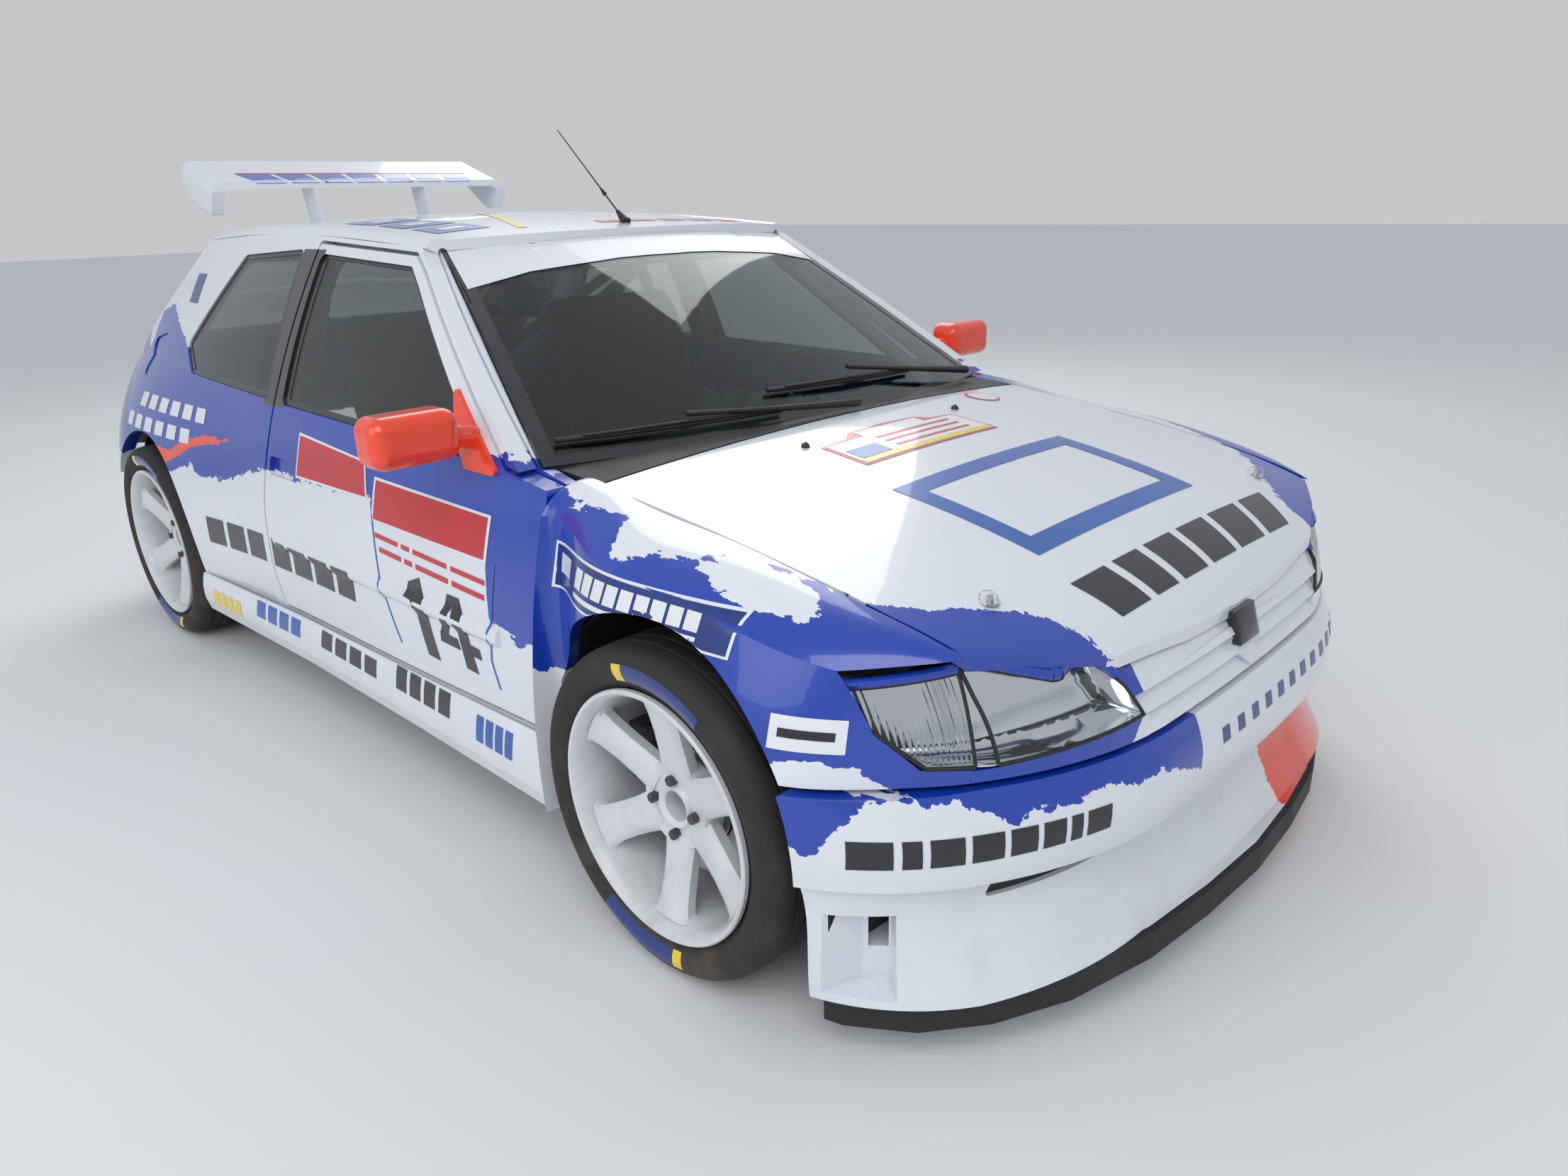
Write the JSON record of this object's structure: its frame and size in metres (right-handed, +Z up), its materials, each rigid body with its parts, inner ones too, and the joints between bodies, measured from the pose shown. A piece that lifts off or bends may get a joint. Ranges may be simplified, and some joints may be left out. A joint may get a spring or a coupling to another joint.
{
  "type": "rally car",
  "caption": "Two-door front-wheel-drive rally hatchback with wide arches, deep splitter, roof aerofoil and roll cage.",
  "frame": {"origin": "on the floor under the middle of the car's bounding box", "axes": "+X towards the nose, +Y to the car's left, +Z up"},
  "size_m": [3.9601, 2.064, 1.5251],
  "materials": {
    "body_paint": "white and blue gloss paint",
    "glass": "clear glass",
    "rubber": "black rubber",
    "tyre": "smooth black tyre",
    "wheel_paint": "white satin paint",
    "steel": "dark steel",
    "orange_paint": "red-orange gloss paint",
    "dark_plastic": "black moulded plastic",
    "cage_paint": "pale grey-green paint",
    "seat_shell": "black seat fabric",
    "lamp_glass": "clear ribbed lens",
    "aluminium": "cast aluminium",
    "red_lens": "red ribbed lens"
  },
  "bodies": {
    "chassis": {"bulkhead": "body_paint", "dashboard": "dark_plastic", "engine_block": "aluminium", "exhaust": "steel", "floor_pan": "body_paint", "front_bumper": "body_paint", "front_liner_left": "dark_plastic", "front_liner_right": "dark_plastic", "front_suspension": "steel", "front_wing_left": "body_paint", "front_wing_right": "body_paint", "grille": "body_paint", "headlamp_left": "lamp_glass", "headlamp_right": "lamp_glass", "quarter_glass_left": "glass", "quarter_glass_right": "glass", "rear_axle": "steel", "rear_bumper": "body_paint", "rear_liner_left": "dark_plastic", "rear_liner_right": "dark_plastic", "rear_quarter_left": "body_paint", "rear_quarter_right": "body_paint", "rear_wing": "body_paint", "roll_cage": "cage_paint", "roof_panel": "body_paint", "scuttle": "dark_plastic", "seat_left": "seat_shell", "seat_right": "seat_shell", "side_frame_left": "body_paint", "side_frame_right": "body_paint", "skirt_left": "body_paint", "skirt_right": "body_paint", "splitter": "body_paint", "splitter_edge": "rubber", "steering_wheel": "rubber", "tail_lamp_left": "red_lens", "tail_lamp_right": "red_lens", "tow_eye": "body_paint", "windscreen": "glass"},
    "door_left": {"door_left": "body_paint", "door_glass_left": "glass", "mirror_left": "orange_paint"},
    "door_right": {"door_right": "body_paint", "door_glass_right": "glass", "mirror_right": "orange_paint"},
    "bonnet": {"bonnet": "body_paint"},
    "tailgate": {"tailgate": "body_paint", "tailgate_glass": "glass"},
    "knuckle_left": {"knuckle_left": "steel"},
    "knuckle_right": {"knuckle_right": "steel"},
    "wheel_front_left": {"wheel_front_left": "wheel_paint", "tyre_front_left": "tyre"},
    "wheel_rear_left": {"wheel_rear_left": "wheel_paint", "tyre_rear_left": "tyre"},
    "wheel_front_right": {"wheel_front_right": "wheel_paint", "tyre_front_right": "tyre"},
    "wheel_rear_right": {"wheel_rear_right": "wheel_paint", "tyre_rear_right": "tyre"}
  },
  "joints": [
    {"name": "door_left_hinge", "type": "hinge", "parent": "chassis", "child": "door_left", "pos_m": [0.853, 0.884, 0.3], "axis": [0, 0.0819, -0.9966], "range_deg": [0, 60]},
    {"name": "door_right_hinge", "type": "hinge", "parent": "chassis", "child": "door_right", "pos_m": [0.853, -0.884, 0.3], "axis": [0, 0.0819, 0.9966], "range_deg": [0, 60]},
    {"name": "bonnet_hinge", "type": "hinge", "parent": "chassis", "child": "bonnet", "pos_m": [0.903, 0, 0.88], "axis": [0, -1, 0], "range_deg": [0, 55]},
    {"name": "tailgate_hinge", "type": "hinge", "parent": "chassis", "child": "tailgate", "pos_m": [-1.377, 0, 1.253], "axis": [0, 1, 0], "range_deg": [0, 65]},
    {"name": "steer_left", "type": "hinge", "parent": "chassis", "child": "knuckle_left", "pos_m": [1.24, 0.747, 0.188], "axis": [-0.057, -0.226, 0.9725], "range_deg": [-30, 30]},
    {"name": "steer_right", "type": "hinge", "parent": "chassis", "child": "knuckle_right", "pos_m": [1.24, -0.747, 0.188], "axis": [-0.057, 0.226, 0.9725], "range_deg": [-30, 30]},
    {"name": "wheel_front_left_spin", "type": "hinge", "parent": "knuckle_left", "child": "wheel_front_left", "pos_m": [1.228, 0.8125, 0.322], "axis": [0, 1, 0], "continuous": true},
    {"name": "wheel_rear_left_spin", "type": "hinge", "parent": "chassis", "child": "wheel_rear_left", "pos_m": [-1.352, 0.8125, 0.322], "axis": [0, 1, 0], "continuous": true},
    {"name": "wheel_front_right_spin", "type": "hinge", "parent": "knuckle_right", "child": "wheel_front_right", "pos_m": [1.228, -0.8125, 0.322], "axis": [0, 1, 0], "continuous": true},
    {"name": "wheel_rear_right_spin", "type": "hinge", "parent": "chassis", "child": "wheel_rear_right", "pos_m": [-1.352, -0.8125, 0.322], "axis": [0, 1, 0], "continuous": true}
  ],
  "couplings": [
    {"joint": "steer_right", "follows": "steer_left", "ratio": 1}
  ]
}
